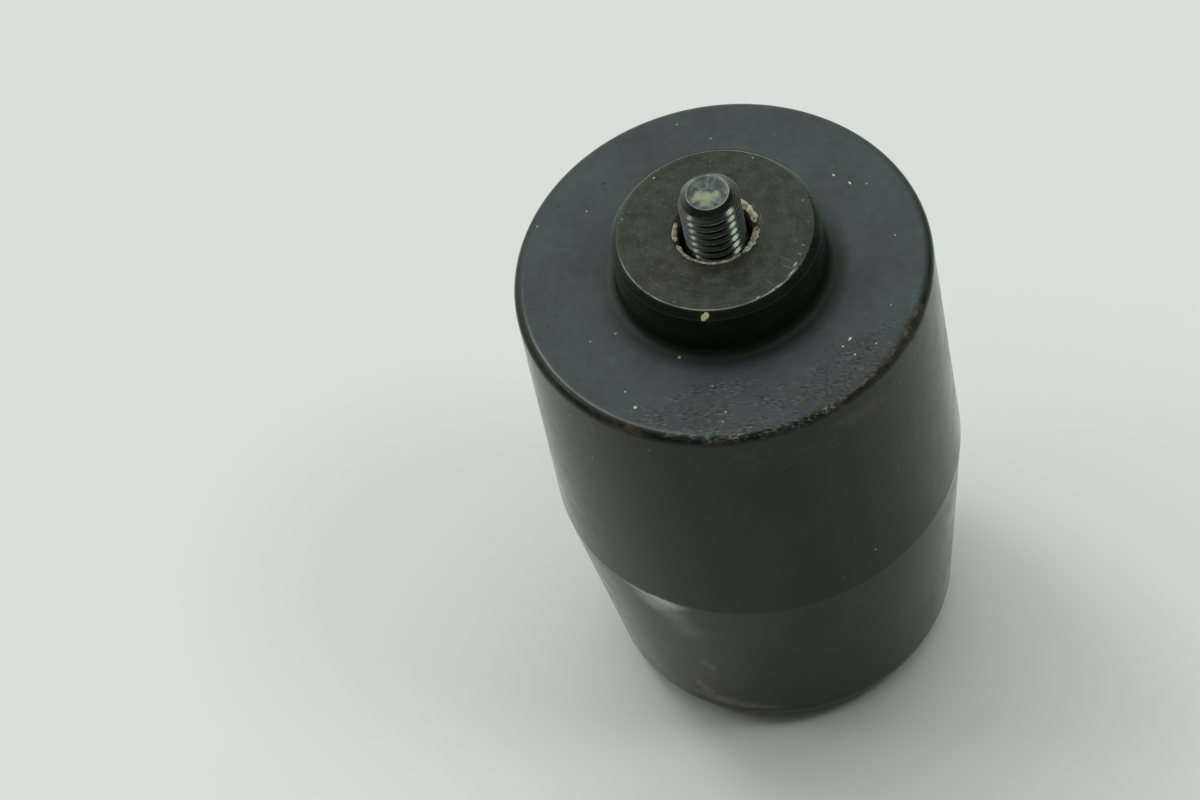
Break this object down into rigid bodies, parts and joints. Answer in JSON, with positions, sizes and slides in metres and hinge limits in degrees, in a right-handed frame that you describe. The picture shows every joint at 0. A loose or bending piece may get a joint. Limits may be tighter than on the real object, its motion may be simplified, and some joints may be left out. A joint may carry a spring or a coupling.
{
  "type": "bar end weight",
  "caption": "Heavy turned steel handlebar end weight: a cylinder tapering to its outer end, a short boss for the bar, and a through screw whose threaded tip stands out of the boss.",
  "frame": {"origin": "centre of the outer face, which the part stands on", "axes": "+Z along the turning axis, from the outer face towards the boss and the handlebar"},
  "size_m": [0.04, 0.04, 0.0668],
  "materials": {
    "blackened_steel": "satin black finish on turned steel, worn bright on the boss rim and rusted on the shoulder edge",
    "black_oxide_screw": "black oxide, worn bright on the thread's flanks and the tip's rim"
  },
  "bodies": {
    "root": {"weight": "blackened_steel", "screw": "black_oxide_screw"}
  },
  "joints": []
}
